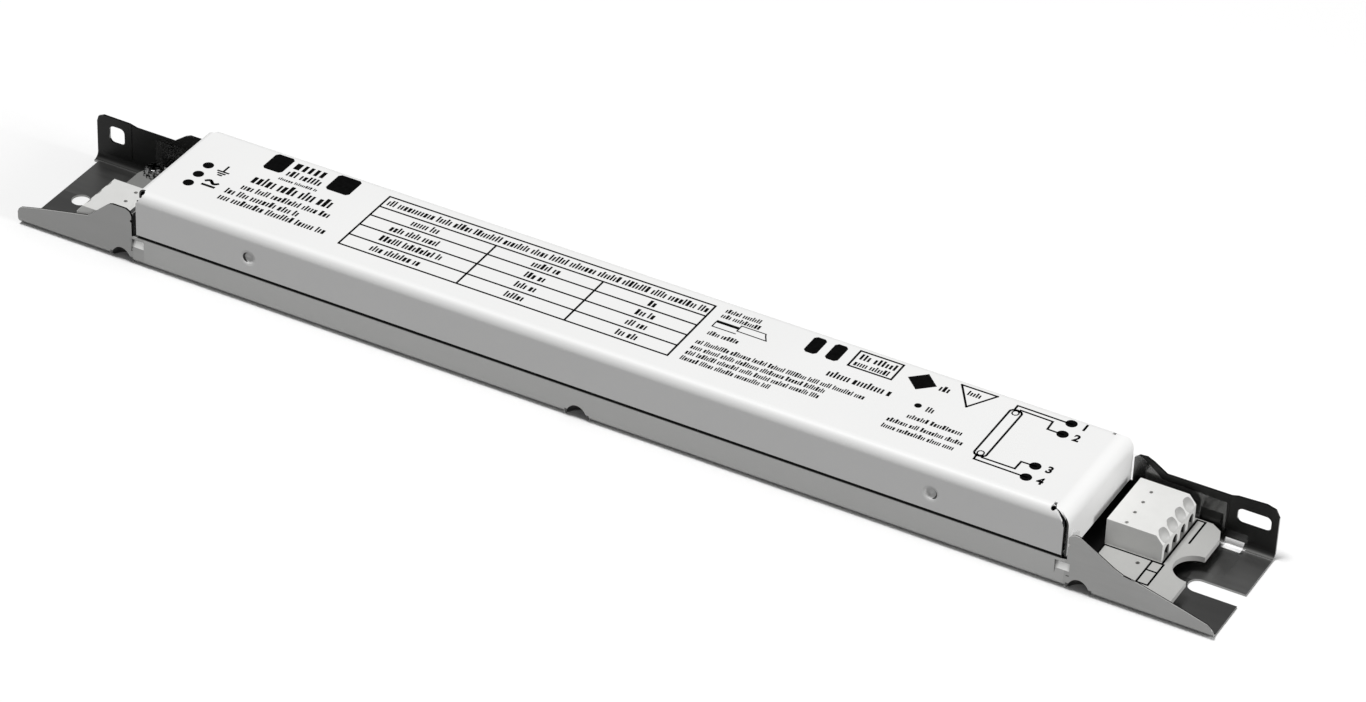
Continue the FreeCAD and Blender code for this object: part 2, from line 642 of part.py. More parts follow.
def chip(x, y):
    body = box(x - 9.6, x + 9.6, y - 3.2, y + 3.2, board_top + 0.5, board_top + 3.9)
    body = body.cut(rod(1.0, 1.0, x - 9.6, y, board_top + 3.5))
    for k in range(8):
        px = x - 8.89 + 2.54 * k
        for side in (-1.0, 1.0):
            leg = box(px - 0.35, px + 0.35, min(y + side * 3.0, y + side * 4.1), max(y + side * 3.0, y + side * 4.1),
                      board_top + 1.8, board_top + 2.1)
            body = body.fuse(leg)
            a = y + side * 3.85
            body = body.fuse(box(px - 0.3, px + 0.3, a - 0.2, a + 0.2, lead_foot, board_top + 1.9))
            leads.append((px, a))
    return body


def axial(x0, x1, y, r):
    z = board_top + r
    xm = (x0 + x1) / 2.0
    case = 0.57 * (x1 - x0)
    body = rod(r, case, xm - case / 2.0, y, z, V(1, 0, 0))
    wire = rod(lead_r, x1 - x0, x0, y, z, V(1, 0, 0))
    return body.fuse(wire).fuse(lead(x0, y, z + 0.3)).fuse(lead(x1, y, z + 0.3))


parts = {}

lamp_front = lamp_block_back + block_deep
test_row = [lamp_block_edge + 1.2 + pole_pitch * k for k in range(4)]
parts["lamp_terminal_block"] = block(4, lamp_front, 1.0, lamp_block_edge, 1.0, lamp_block_back + pole_pitch, test_row)
test_row = [mains_block_edge - 2.8 - pole_pitch * k for k in range(3)]
parts["mains_terminal_block"] = block(3, mains_block_front, -1.0, mains_block_edge, -1.0,
                                      mains_block_front + block_deep - pole_pitch, test_row)
for k in range(4):
    yc = lamp_block_edge + block_spare / 2.0 + pole_pitch * (k + 0.5)
    parts["lamp_clamp_%d" % (4 - k)] = clamp(lamp_front, 1.0, yc)
for k in range(3):
    yc = mains_block_edge - block_spare / 2.0 - pole_pitch * (k + 0.5)
    parts["mains_clamp_%d" % (k + 1)] = clamp(mains_block_front, -1.0, yc)

parts["earth_pillar"] = earth_pillar()
parts["earth_lock_washer"] = earth_washer()
parts["earth_screw"] = earth_screw()

# Parts under the cover: shares of the covered length, of the board's half width and of the room above it
covered = cover_right - cover_left


def at(share):
    return cover_left + covered * share


spacers_x = (at(0.05), at(0.298), at(0.605), at(0.926))
for k, x in enumerate(spacers_x):
    parts["board_spacer_%d" % (k + 1)] = spacer(x)

tall = room - 1.0
parts["mains_fuse"] = fuse_part(at(0.027), -0.62 * board_half)
parts["surge_varistor"] = varistor(at(0.027), 0.49 * board_half)
core, bobbin, coil = coil_set(at(0.095), 0.0, 0.068 * covered, 0.49 * board_half, tall - 2.2, 2.6, 3.6, 2)
parts["filter_choke_core"] = core
parts["filter_choke_bobbin"] = bobbin
parts["filter_choke_winding"] = coil
parts["suppression_capacitor"] = cased(at(0.138), at(0.202), -0.58 * board_half, 0.46 * board_half, 0.82 * room)
parts["bridge_rectifier"] = cased(at(0.141), at(0.195), 0.42 * board_half, 0.20 * board_half, 0.60 * room, 4)
core, bobbin, coil = coil_set(at(0.2555), 0.0, 0.089 * covered, 0.6 * board_half, tall - 1.2, 3.4, 3.8, 4)
parts["boost_choke_core"] = core
parts["boost_choke_bobbin"] = bobbin
parts["boost_choke_winding"] = coil
parts["boost_transistor"] = transistor(at(0.348), 0.77 * board_half)
parts["boost_diode"] = axial(at(0.327), at(0.377), 0.33 * board_half, 0.145 * room)
parts["bulk_capacitor"] = bulk_capacitor(at(0.341), at(0.4625), -0.49 * board_half, 0.39 * board_half)
parts["control_chip"] = chip(at(0.434), 0.43 * board_half)
parts["bridge_transistor_1"] = transistor(at(0.5055), 0.77 * board_half)
parts["bridge_transistor_2"] = transistor(at(0.5575), 0.77 * board_half)
parts["snubber_capacitor"] = cased(at(0.5055), at(0.531), -0.35 * board_half, 0.27 * board_half, 0.51 * room)
core, bobbin, coil = coil_set(at(0.6765), 0.0, 0.1 * covered, 0.6 * board_half, tall - 1.2, 3.4, 3.8, 4)
parts["lamp_choke_core"] = core
parts["lamp_choke_bobbin"] = bobbin
parts["lamp_choke_winding"] = coil
parts["resonant_capacitor"] = cased(at(0.7445), at(0.8085), 0.43 * board_half, 0.43 * board_half, 0.79 * room)
parts["coupling_capacitor"] = cased(at(0.7445), at(0.8085), -0.52 * board_half, 0.38 * board_half, 0.74 * room)
core, bobbin, coil = coil_set(at(0.8585), 0.0, 0.057 * covered, 0.38 * board_half, tall - 4.2, 2.4, 3.0, 3)
parts["preheat_transformer_core"] = core
parts["preheat_transformer_bobbin"] = bobbin
parts["preheat_transformer_winding"] = coil
parts["heater_capacitor_1"] = cased(at(0.948), at(0.9735), 0.35 * board_half, 0.27 * board_half, 0.51 * room)
parts["heater_capacitor_2"] = cased(at(0.948), at(0.9735), -0.35 * board_half, 0.27 * board_half, 0.51 * room)


def board():
    r = board_right
    h = board_half
    l = board_left
    outline = [(l, -h), (r, -h), (r, h - 5.2), (r - 1.2, h - 2.0), (r - 4.2, h), (l + 2.3, h),
               (l + 1.5, h - 1.8), (l, h - 6.2)]
    shape = prism_xy(outline, board_under, board_top)
    shape = shape.cut(rod(notch_r, 4.0, r, fixing_line - 0.1, board_under - 1.0))
    holes = [(lead_hole, x, y) for x, y in leads] + [(0.7, x, y) for x, y in pegs]
    holes += [(1.4, x, side * stud_y) for x in spacers_x for side in (-1.0, 1.0)]
    for radius, x, y in holes:
        shape = shape.cut(slim(radius, 4.0, x, y, board_under - 1.0))
    shape = shape.cut(rod(screw_r + 0.2, 4.0, earth_x, earth_y, board_under - 1.0))
    shape = shape.cut(rod(0.6, 4.0, r - 13.9, lamp_block_edge - 3.3, board_under - 1.0))
    return shape


parts["circuit_board"] = board()
parts["base_tray"] = tray()
parts["top_cover"] = cover()
parts["insulating_liner"] = liner()

for name in sorted(parts):
    shape = parts[name]
    if len(shape.Solids) == 1:
        shape = shape.Solids[0]
    print(name, "solids", len(parts[name].Solids), "valid", shape.isValid(), "volume %.1f" % shape.Volume)
    shape.exportStep("parts/" + name + ".step")
print("pieces", len(parts))
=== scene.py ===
import math
import random

import bmesh
import bpy
from mathutils import Matrix, Vector


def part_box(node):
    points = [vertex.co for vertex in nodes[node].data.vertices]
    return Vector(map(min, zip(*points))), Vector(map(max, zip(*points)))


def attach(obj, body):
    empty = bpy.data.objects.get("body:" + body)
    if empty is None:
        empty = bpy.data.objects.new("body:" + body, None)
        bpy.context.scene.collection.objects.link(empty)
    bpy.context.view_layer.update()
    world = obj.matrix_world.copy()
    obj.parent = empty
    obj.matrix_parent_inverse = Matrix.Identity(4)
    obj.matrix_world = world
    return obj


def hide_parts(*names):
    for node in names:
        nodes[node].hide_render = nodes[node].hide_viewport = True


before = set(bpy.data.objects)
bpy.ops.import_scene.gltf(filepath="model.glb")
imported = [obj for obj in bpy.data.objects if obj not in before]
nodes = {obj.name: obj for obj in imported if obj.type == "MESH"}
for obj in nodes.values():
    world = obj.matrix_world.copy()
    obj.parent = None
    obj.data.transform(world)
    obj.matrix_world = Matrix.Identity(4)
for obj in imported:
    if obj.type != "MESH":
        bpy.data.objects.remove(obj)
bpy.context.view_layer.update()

# The base tray is one strip of galvanised steel, 0.6 mm thick, with its floor and both walls folded
# up from it. The walls are stepped inward in the middle, where the cover slides over them. The
# outer half of the near walls' top edges is bare cut steel with a painted highlight, and the dents'
# upward slopes get the same painted highlight; the inside faces, the other edges, the joggle and
# the gussets get painted shade.
MM = 0.001
# Bare cut zinc, also used as a painted highlight; UNLIT is painted shade.
BARE_ZINC_AND_HIGHLIGHT = (0.82, 0.82, 0.81)
UNLIT = (0.02, 0.02, 0.02)
MAINS_BAY = -142.0 * MM
COVERED = 138.5 * MM
DENTS_AT = (-140.6, 137.9)
GUSSETS_AT = (-146.0, -3.0, 142.8)


class Value:
    """A socket that can be used in sums, products and comparisons."""

    def __init__(self, paint, socket):
        self.paint = paint
        self.socket = socket

    def math(self, operation, *others):
        inlets = dict(enumerate((self,) + others))
        return self.paint.node("ShaderNodeMath", {"operation": operation}, inlets)

    def __add__(self, other):
        return self.math("ADD", other)

    def __mul__(self, other):
        return self.math("MULTIPLY", other)

    def __sub__(self, other):
        return self.math("SUBTRACT", other)

    def __gt__(self, other):
        return self.math("GREATER_THAN", other)

    def __lt__(self, other):
        return self.math("LESS_THAN", other)

    def __abs__(self):
        return self.math("ABSOLUTE")

    def __rsub__(self, other):
        return self.paint.node("ShaderNodeMath", {"operation": "SUBTRACT"}, {0: other, 1: self})

    def rise(self, low, high):
        """0 below low, 1 above high, smooth between."""
        return self.paint.node("ShaderNodeMapRange", {"interpolation_type": "SMOOTHSTEP"},
                               {"Value": self, "From Min": low, "From Max": high})


class Finish:
    """A material for one kind of piece, built round a single surface shader."""

    def __init__(self, name, **surface):
        self.material = bpy.data.materials.new(name)
        self.material.use_nodes = True
        self.tree = self.material.node_tree
        self.tree.nodes.clear()
        self.shader = self.tree.nodes.new("ShaderNodeBsdfPrincipled")
        out = self.tree.nodes.new("ShaderNodeOutputMaterial")
        self.tree.links.new(self.shader.outputs[0], out.inputs["Surface"])
        self.set(**surface)

    def put(self, socket, value):
        if isinstance(value, Value):
            self.tree.links.new(value.socket, socket)
        elif isinstance(value, tuple) and len(value) == 3 and socket.type == "RGBA":
            socket.default_value = value + (1.0,)
        else:
            socket.default_value = value

    def set(self, **surface):
        for name, value in surface.items():
            self.put(self.shader.inputs[name.replace("_", " ")], value)

    def node(self, kind, settings=None, inlets=None, outlet=0):
        made = self.tree.nodes.new(kind)
        for name, value in (settings or {}).items():
            setattr(made, name, value)
        for name, value in (inlets or {}).items():
            self.put(made.inputs[name], value)
        return Value(self, made.outputs[outlet])

    def place(self, stretch=(1.0, 1.0, 1.0), turn=(0.0, 0.0, 0.0)):
        """Position on the object in metres, stretched or turned for a pattern."""
        point = self.node("ShaderNodeTexCoord", outlet="Object")
        return self.node("ShaderNodeMapping", {},
                         {"Vector": point, "Scale": stretch, "Rotation": turn})

    def axis(self, index):
        """Position along one axis of the object, in metres."""
        point = self.node("ShaderNodeTexCoord", outlet="Object")
        return self.node("ShaderNodeSeparateXYZ", {}, {0: point}, index)

    def facing(self, index):
        """How far the surface faces along one axis, from -1 to 1."""
        normal = self.node("ShaderNodeNewGeometry", outlet="Normal")
        return self.node("ShaderNodeSeparateXYZ", {}, {0: normal}, index)

    def around(self, index, middle, reach):
        """1 within reach of a middle along one axis, both in millimetres."""
        return abs(self.axis(index) - middle * MM) < reach * MM

    def noise(self, size, detail=2.0, stretch=(1.0, 1.0, 1.0)):
        """Soft noise whose spots measure about size metres."""
        return self.node("ShaderNodeTexNoise", {},
                         {"Vector": self.place(stretch), "Scale": 1.0 / size, "Detail": detail})

    def blend(self, first, second, mask):
        return self.node("ShaderNodeMix", {"data_type": "RGBA"}, {0: mask, 6: first, 7: second}, 2)

    def bumps(self, height, depth, strength=1.0):
        """A raised pattern, depth metres high where the height is 1."""
        self.set(Normal=self.node("ShaderNodeBump", {},
                                  {"Height": height, "Distance": depth, "Strength": strength}))


def any_of(first, *others):
    """1 where at least one of the masks is 1."""
    for other in others:
        first = first.math("MAXIMUM", other)
    return first


def wear(finish, *names):
    """Gives CAD nodes that stay as they are their finish."""
    for name in names:
        slots = nodes[name].data.materials
        slots.clear()
        slots.append(finish.material)


def finished(name, mesh, finish, smooth=None):
    """Makes a bmesh into a piece of the object with its finish."""
    bmesh.ops.recalc_face_normals(mesh, faces=mesh.faces)
    data = bpy.data.meshes.new(name)
    mesh.to_mesh(data)
    mesh.free()
    data.materials.append(finish.material)
    piece = bpy.data.objects.new(name, data)
    bpy.context.scene.collection.objects.link(piece)
    if smooth:
        data.shade_smooth()
        data.set_sharp_from_angle(angle=math.radians(smooth))
        even = piece.modifiers.new("even_shading", "WEIGHTED_NORMAL")
        even.weight = 100
        even.keep_sharp = True
    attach(piece, "root")
    return piece


def eased(node, name, finish, soften, smooth=32.0):
    """Stands for a CAD node with a copy whose flats are whole and whose edges are eased."""
    mesh = bmesh.new()
    mesh.from_mesh(nodes[node].data)
    bmesh.ops.remove_doubles(mesh, verts=mesh.verts, dist=0.002 * MM)
    bmesh.ops.dissolve_limit(mesh, angle_limit=math.radians(0.5), verts=mesh.verts,
                             edges=mesh.edges)
    if soften:
        sharp = [e for e in mesh.edges if len(e.link_faces) == 2
                 and e.calc_length() > 3 * soften
                 and e.calc_face_angle(0.0) > math.radians(50.0)]
        bmesh.ops.bevel(mesh, geom=sharp, offset=soften, offset_type="OFFSET", affect="EDGES",
                        segments=2, profile=0.5, clamp_overlap=False, material=-1)
    piece = finished(name, mesh, finish, smooth)
    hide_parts(node)
    return piece


galvanised = Finish("galvanised_steel", Metallic=1.0)
rolled = galvanised.noise(1.6 * MM, 3.0, (0.08, 1.0, 1.0))
cloud = galvanised.noise(14 * MM, 2.0)
x, y, z = (galvanised.axis(index) for index in range(3))
slant = galvanised.facing(2)
outward = galvanised.facing(1) * y
outer_face = outward > 0.0
inner = (outward < -0.004) * (z > 0.62 * MM)
pan = (slant > 0.9) * (z < 0.8 * MM)

# Top edges of the walls. The outer half of the near edges, away from the hump at the mains bay, is
# bare cut steel with a painted highlight; their inner half, the hump and the far edges get painted
# shade.
rim = (slant > 0.3) * (abs(galvanised.facing(1)) < 0.2) * (z > 2.6 * MM) * (abs(y) > 19.38 * MM)
hump = (x > -150.6 * MM) * (x < MAINS_BAY)
bare_lit_edge = rim * (y < -19.68 * MM) * (1.0 - hump)
# The upward slopes of the pressed dents get a painted highlight in the bright edge colour, fading
# away from each dent's middle.
dent_highlight = (slant > 0.15) * (slant < 0.7) * (abs(y) > 18.7 * MM)
dent_highlight = dent_highlight * galvanised.around(2, 6.2, 2.7) * outer_face
from_dent = abs(x - DENTS_AT[0] * MM).math("MINIMUM", abs(x - DENTS_AT[1] * MM))
dent_highlight = dent_highlight * (1.0 - from_dent.rise(0.9 * MM, 2.3 * MM) * 0.7)
joggle = galvanised.around(2, 13.5, 4.28) * (abs(y) < 19.97 * MM) * outer_face
wing_end = (galvanised.facing(0) > 0.8) * (x < MAINS_BAY) * (x > -143.0 * MM)
brow = (slant < -0.3) * galvanised.around(2, 7.9, 0.8) * outer_face
gusset = any_of(*[galvanised.around(0, middle, 3.7) for middle in GUSSETS_AT])
gusset = gusset * (abs(y) < 19.96 * MM) * (z < 4.5 * MM) * (z > 0.5 * MM) * outer_face

tone = galvanised.blend((0.235, 0.235, 0.232), (0.30, 0.30, 0.296), rolled * 0.6 + cloud * 0.4)
# The outer faces are darker past the mains bay and lighter along the covered middle. The floor gets
# painted shade on its near half and a painted reflection on its far half at the lamp end.
tone = galvanised.blend(tone, (0.235, 0.235, 0.232), (x < MAINS_BAY) * outer_face)
tone = galvanised.blend(tone, (0.315, 0.315, 0.311), (abs(x) < COVERED) * outer_face * 0.8)
tone = galvanised.blend(tone, (0.20, 0.20, 0.198), pan * (y < 0.0))
tone = galvanised.blend(tone, (0.38, 0.38, 0.376), pan * (y > 0.0) * (x > 0.0))
# The inside faces get painted shade, darker still past the mains bay.
inside_shade = galvanised.blend((0.030, 0.030, 0.029), (0.062, 0.062, 0.061), rolled * 0.4 + cloud * 0.6)
tone = galvanised.blend(tone, inside_shade, inner)
tone = galvanised.blend(tone, (0.015, 0.015, 0.015), inner * (x < -141.0 * MM) * 0.5)
# Painted shade on the outer faces of the corner gussets.
tone = galvanised.blend(tone, (0.06, 0.06, 0.06), gusset)
tone = galvanised.blend(tone, UNLIT, any_of(joggle, wing_end, rim * (1.0 - bare_lit_edge), brow))
bare_and_highlight = any_of(bare_lit_edge * (1.0 - joggle), dent_highlight)
galvanised.set(Base_Color=galvanised.blend(tone, BARE_ZINC_AND_HIGHLIGHT, bare_and_highlight),
               Roughness=rolled * 0.12 + bare_and_highlight * 0.20 + inner * 0.12 + 0.30)
galvanised.bumps(rolled, 0.02 * MM, 0.3)
eased("base_tray", "folded_tray", galvanised, 0.0, 14.0)

# The liner is clear polyester film, 0.25 mm thick, folded into a trough that keeps the board and
# its solder joints away from the steel. It stands free past both ends of the cover.
film = Finish("clear_film", Base_Color=(0.88, 0.88, 0.88), Metallic=1.0, Roughness=0.22)
graze = film.node("ShaderNodeLayerWeight", {}, {"Blend": 0.5}, "Fresnel")
haze = film.noise(5 * MM)
folded = (film.axis(2) < 2.7 * MM) * (abs(film.axis(1)) > 16.5 * MM)
handled = (film.axis(0) > 100.0 * MM) * (1.0 - folded)
film.set(Alpha=(graze * 0.13 + haze * 0.02) * handled + 0.015)
wear(film, "insulating_liner")

# The circuit board is pale coated laminate, 1.6 mm thick. Its legend is black silk-screen ink, and
# the pieces soldered into it stand under the cover. Where it runs under the cover it is painted
# near black as shade, and past the mains end of the cover it gets a darker painted shade.
laminate = Finish("board_laminate", Specular_IOR_Level=0.12)
weave = laminate.noise(0.5 * MM, 2.0)
patches = laminate.noise(9 * MM, 2.0)
bare_board = laminate.blend((0.43, 0.43, 0.418), (0.51, 0.51, 0.498), patches * 0.7 + weave * 0.3)
# Painted shade on the board past the mains end of the cover.
at_mains = laminate.axis(0) < -141.0 * MM
bare_board = laminate.blend(bare_board, (0.20, 0.20, 0.195), at_mains * 0.85)
# Painted black shade on the part of the board under the cover.
shade_under_cover = (laminate.axis(0) < 142.4 * MM) * (laminate.axis(0) > -141.0 * MM)
laminate.set(Base_Color=laminate.blend(bare_board, (0.005, 0.005, 0.005), shade_under_cover),
             Roughness=shade_under_cover * 0.45 + 0.42)
laminate.bumps(weave, 0.01 * MM, 0.4)
BOARD_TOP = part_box("circuit_board")[1].z
eased("circuit_board", "laminate_board", laminate, 0.0)

ink = Finish("black_ink", Roughness=0.8, Specular_IOR_Level=0.0)
ink.set(Base_Color=ink.blend((0.002, 0.002, 0.002), (0.008, 0.008, 0.008), ink.noise(0.8 * MM)))


def stroke(mesh, a, b, wide, low, high):
    """A straight printed line from a to b, in millimetres, lying between two heights."""
    ax, ay = a
    bx, by = b
    long = math.hypot(bx - ax, by - ay) + wide
    size = Matrix.Diagonal((long * MM, wide * MM, high - low, 1.0))
    turn = Matrix.Rotation(math.atan2(by - ay, bx - ax), 4, "Z")
    middle = Matrix.Translation(((ax + bx) / 2 * MM, (ay + by) / 2 * MM, (low + high) / 2))
    bmesh.ops.create_cube(mesh, size=1.0, matrix=middle @ turn @ size)


def path(mesh, points, wide, low, high):
    """A printed line through several points."""
    for a, b in zip(points, points[1:]):
        stroke(mesh, a, b, wide, low, high)


LEGEND = 0.55
legend = bmesh.new()
low, high = BOARD_TOP - 0.02 * MM, BOARD_TOP + 0.03 * MM
block_outline = [(142.5, -8.4), (142.5, -4.1), (158.6, -4.1), (158.6, 17.8), (160.9, 17.8),
                 (160.9, 7.6)]
pad_outline = [(155.9, -4.2), (159.1, -4.2), (159.1, -14.1), (155.9, -14.1), (155.9, -4.2)]
pad_divider = [(155.9, -8.2), (159.1, -8.2)]
for points in (block_outline, pad_outline, pad_divider):
    path(legend, points, LEGEND, low, high)
finished("board_legend", legend, ink)

# The terminal housings are moulded in white polyamide, with a scooped guide over each wire entry
# and a round test hole behind it. Pegs hold them in the board and a sprung steel clamp sits in each
# pole.
nylon_white = Finish("white_polyamide")
mottle = nylon_white.noise(3 * MM, 3.0)
grain = nylon_white.noise(0.25 * MM)
lamp_low, lamp_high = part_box("lamp_terminal_block")
mains_low, mains_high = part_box("mains_terminal_block")
BLOCK_TOP = lamp_high.z
POLE = 5.0 * MM
END_WALL = 0.35 * MM
moulded = nylon_white.blend((0.74, 0.74, 0.725), (0.80, 0.80, 0.785), mottle)


def hollowed(chambers, entries, poles):
    """1 in the clamp chambers and wire entries of one housing, each a middle and a reach."""
    inside = nylon_white.around(0, *chambers) * (nylon_white.axis(2) < BLOCK_TOP - 1.05 * MM)
    inside = inside + nylon_white.around(0, *entries) * (nylon_white.axis(2) < BLOCK_TOP - 3.9 * MM)
    return inside * nylon_white.around(1, *poles)


def off_pole(side):
    """Distance across from the middle of the nearest pole of a housing that starts at side."""
    from_side = nylon_white.axis(1) - (side + END_WALL)
    return from_side.math("FLOORED_MODULO", POLE) - POLE / 2


def dished(middle, across):
    """1 on the dishes over the wire entries, which are parts of spheres."""
    along = nylon_white.axis(0) - middle
    dish_z = nylon_white.axis(2) - (BLOCK_TOP - 0.48 * MM)
    return (along * along + across * across + dish_z * dish_z).math("SQRT") < 2.50 * MM


# Painted shade in the clamp chambers and wire entries, on the mains housing's back face and on the
# step at its back.
housing_shade = hollowed((149.25, 5.7), (156.2, 1.5), (6.85, 10.15))
housing_shade = housing_shade + hollowed((-152.05, 5.7), (-159.0, 1.5), (-11.35, 7.65))
housing_shade = housing_shade + (nylon_white.facing(0) > 0.9) * nylon_white.around(0, -145.0, 0.6)
housing_shade = housing_shade + (nylon_white.facing(2) > 0.9) * nylon_white.around(0, -145.6, 0.75)
dish = dished(lamp_high.x - 0.13 * MM, off_pole(lamp_low.y))
dish = dish + dished(mains_low.x + 0.13 * MM, off_pole(mains_low.y))
# The dishes over the wire entries get a grey painted shade.
moulded = nylon_white.blend(moulded, (0.50, 0.50, 0.49), dish)
moulded = nylon_white.blend(moulded, (0.05, 0.05, 0.05), housing_shade.math("MINIMUM", 1.0))
nylon_white.set(Base_Color=moulded, Roughness=grain * 0.15 + 0.40)
nylon_white.bumps(grain, 0.01 * MM, 0.4)
eased("lamp_terminal_block", "lamp_terminal_housing", nylon_white, 0.15 * MM)
eased("mains_terminal_block", "mains_terminal_housing", nylon_white, 0.15 * MM)

spring = Finish("tinned_spring", Metallic=1.0)
spring.set(Base_Color=spring.blend((0.50, 0.49, 0.46), (0.62, 0.61, 0.58), spring.noise(1.5 * MM)),
           Roughness=spring.noise(0.4 * MM) * 0.15 + 0.3)
wear(spring, *["lamp_clamp_%d" % k for k in (1, 2, 3, 4)],
     *["mains_clamp_%d" % k for k in (1, 2, 3)])

# The earth screw is a zinc-plated pan head with a cross recess over a toothed washer. It runs
# through the board's corner into a threaded pillar that stands on the tray.
plated = Finish("zinc_plated", Metallic=1.0)
screw_low, screw_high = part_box("earth_screw")
screw_middle = (screw_low + screw_high) / 2
recess_depth = plated.axis(2) - screw_high.z
# Painted shade in the cross recess.
recess_shade = (recess_depth < -0.3 * MM) * (recess_depth > -1.25 * MM)
away_x, away_y = plated.axis(0) - screw_middle.x, plated.axis(1) - screw_middle.y
recess_shade = recess_shade * ((away_x * away_x + away_y * away_y).math("SQRT") < 1.7 * MM)
glints = plated.noise(0.8 * MM, 1.0).rise(0.42, 0.62)
zinc = plated.blend((0.08, 0.08, 0.08), (0.85, 0.85, 0.85), glints)
plated.set(Base_Color=plated.blend(zinc, (0.01, 0.01, 0.01), recess_shade),
           Roughness=plated.noise(0.3 * MM) * 0.12 + 0.10)
plated.bumps(plated.noise(0.7 * MM, 1.0), 0.06 * MM, 0.6)
eased("earth_screw", "earth_screw_head", plated, 0.0)
wear(plated, "earth_pillar", "earth_lock_washer")

# The parts on the board are common ones: wound chokes on ferrite cores, film capacitors in moulded
# cases, a sleeved electrolytic can, power transistors and a control chip. The cover hides them.
ferrite = Finish("ferrite", Roughness=0.6)
ferrite.set(Base_Color=ferrite.blend((0.035, 0.035, 0.037), (0.075, 0.075, 0.078),
                                     ferrite.noise(1.2 * MM, 4.0)))
wear(ferrite, *[n for n in nodes if n.endswith("_core")])

bobbin = Finish("bobbin_moulding", Roughness=0.5)
bobbin.set(Base_Color=bobbin.blend((0.02, 0.02, 0.02), (0.045, 0.045, 0.045), bobbin.noise(2 * MM)))
wear(bobbin, *[n for n in nodes if n.endswith("_bobbin")])

copper = Finish("enamelled_copper", Metallic=1.0)
turns = copper.node("ShaderNodeTexWave", {"wave_type": "BANDS", "bands_direction": "X"},
                    {"Vector": copper.place(), "Scale": 0.16 / (0.4 * MM), "Distortion": 0.4})
copper.set(Base_Color=copper.blend((0.30, 0.10, 0.04), (0.72, 0.33, 0.15), turns),
           Roughness=turns * 0.1 + 0.25)
copper.bumps(turns, 0.12 * MM)
wear(copper, *[n for n in nodes if n.endswith("_winding")])

epoxy = Finish("black_epoxy", Roughness=0.4)
epoxy.set(Base_Color=epoxy.blend((0.015, 0.015, 0.016), (0.04, 0.04, 0.042), epoxy.noise(0.6 * MM)))
wear(epoxy, "mains_fuse", "bridge_rectifier", "boost_transistor", "boost_diode", "control_chip",
     "bridge_transistor_1", "bridge_transistor_2")

film_case = Finish("capacitor_case", Roughness=0.35)
film_case.set(Base_Color=film_case.blend((0.14, 0.15, 0.17), (0.20, 0.21, 0.23),
                                         film_case.noise(3 * MM)))
wear(film_case, "suppression_capacitor", "snubber_capacitor", "resonant_capacitor",
     "coupling_capacitor", "heater_capacitor_1", "heater_capacitor_2")

sleeve = Finish("can_sleeve", Roughness=0.3)
sleeve.set(Base_Color=sleeve.blend((0.02, 0.02, 0.035), (0.035, 0.035, 0.055),
                                   sleeve.noise(4 * MM)))
wear(sleeve, "bulk_capacitor")

dipped = Finish("dipped_epoxy", Roughness=0.35)
dipped.set(Base_Color=dipped.blend((0.03, 0.08, 0.22), (0.05, 0.12, 0.32), dipped.noise(1.5 * MM)))
wear(dipped, "surge_varistor")

natural = Finish("natural_nylon", Roughness=0.5)
natural.set(Base_Color=natural.blend((0.62, 0.60, 0.54), (0.70, 0.68, 0.62), natural.noise(2 * MM)))
wear(natural, *["board_spacer_%d" % k for k in (1, 2, 3, 4)])

# The cover is steel sheet, 0.5 mm thick, painted satin white before it was folded. Its long sides
# slide over the tray's walls and its ends are folded down between the terminal bays.
cover_low, cover_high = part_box("top_cover")
SNAPS = (cover_low.x + 36.8 * MM, cover_high.x - 38.3 * MM)
SNAP_Z = 15.1 * MM
enamel = Finish("white_enamel")
orange_peel = enamel.noise(1.1 * MM, 2.0)
dust = enamel.noise(30 * MM, 3.0)
outer = enamel.blend((0.865, 0.865, 0.86), (0.905, 0.905, 0.90), dust)
x, y, z = (enamel.axis(index) for index in range(3))
face_x, face_y, face_z = (enamel.facing(index) for index in range(3))
outward = face_y * y + face_z * (z - 12.0 * MM) + face_x * x
cut_end = (abs(y) > 19.45 * MM) * (face_x > 0.9) * (x < 138.0 * MM)
flange_rim = (abs(y) < 19.6 * MM) * (abs(y) > 16.4 * MM) * (abs(face_y) > 0.9)
flange_rim = flange_rim * (abs(x) > 137.6 * MM) * (outward > 0.0)
notch_wall = (face_x > 0.3) * (x < -137.0 * MM)
unlit = any_of(outward < -0.002, cut_end, flange_rim, notch_wall)
from_snap = abs(x - SNAPS[0]).math("MINIMUM", abs(x - SNAPS[1]))
snap_z = z - SNAP_Z
snap = (from_snap * from_snap + snap_z * snap_z).math("SQRT").rise(0.1 * MM, 2.5 * MM)
enamel.set(Base_Color=enamel.blend(outer, (0.03, 0.03, 0.03), unlit),
           Roughness=orange_peel * 0.1 + 0.42)
enamel.bumps(orange_peel * 0.006 + snap * 1.25, 1.0 * MM, 1.0)
eased("top_cover", "folded_cover", enamel, 0.0)

# The print on the cover is black screen ink a few hundredths of a millimetre thick: ruled lines,
# plain fields, rows of short bars, the terminals' dots and numbers and a wiring sketch of the lamp.
INK_LOW = cover_high.z - 0.01 * MM
INK_HIGH = INK_LOW + 0.04 * MM
FINE, LINE, BOLD = 0.36, 0.58, 0.90
print_mesh = bmesh.new()
dice = random.Random(7)


def drawn(points, wide):
    """A line of the print on the cover."""
    path(print_mesh, points, wide, INK_LOW, INK_HIGH)


def dot(x, y, radius):
    """A round printed dot."""
    place = Matrix.Translation((x * MM, y * MM, (INK_LOW + INK_HIGH) / 2))
    bmesh.ops.create_cone(print_mesh, cap_ends=True, segments=28, radius1=radius * MM,
                          radius2=radius * MM, depth=INK_HIGH - INK_LOW, matrix=place)


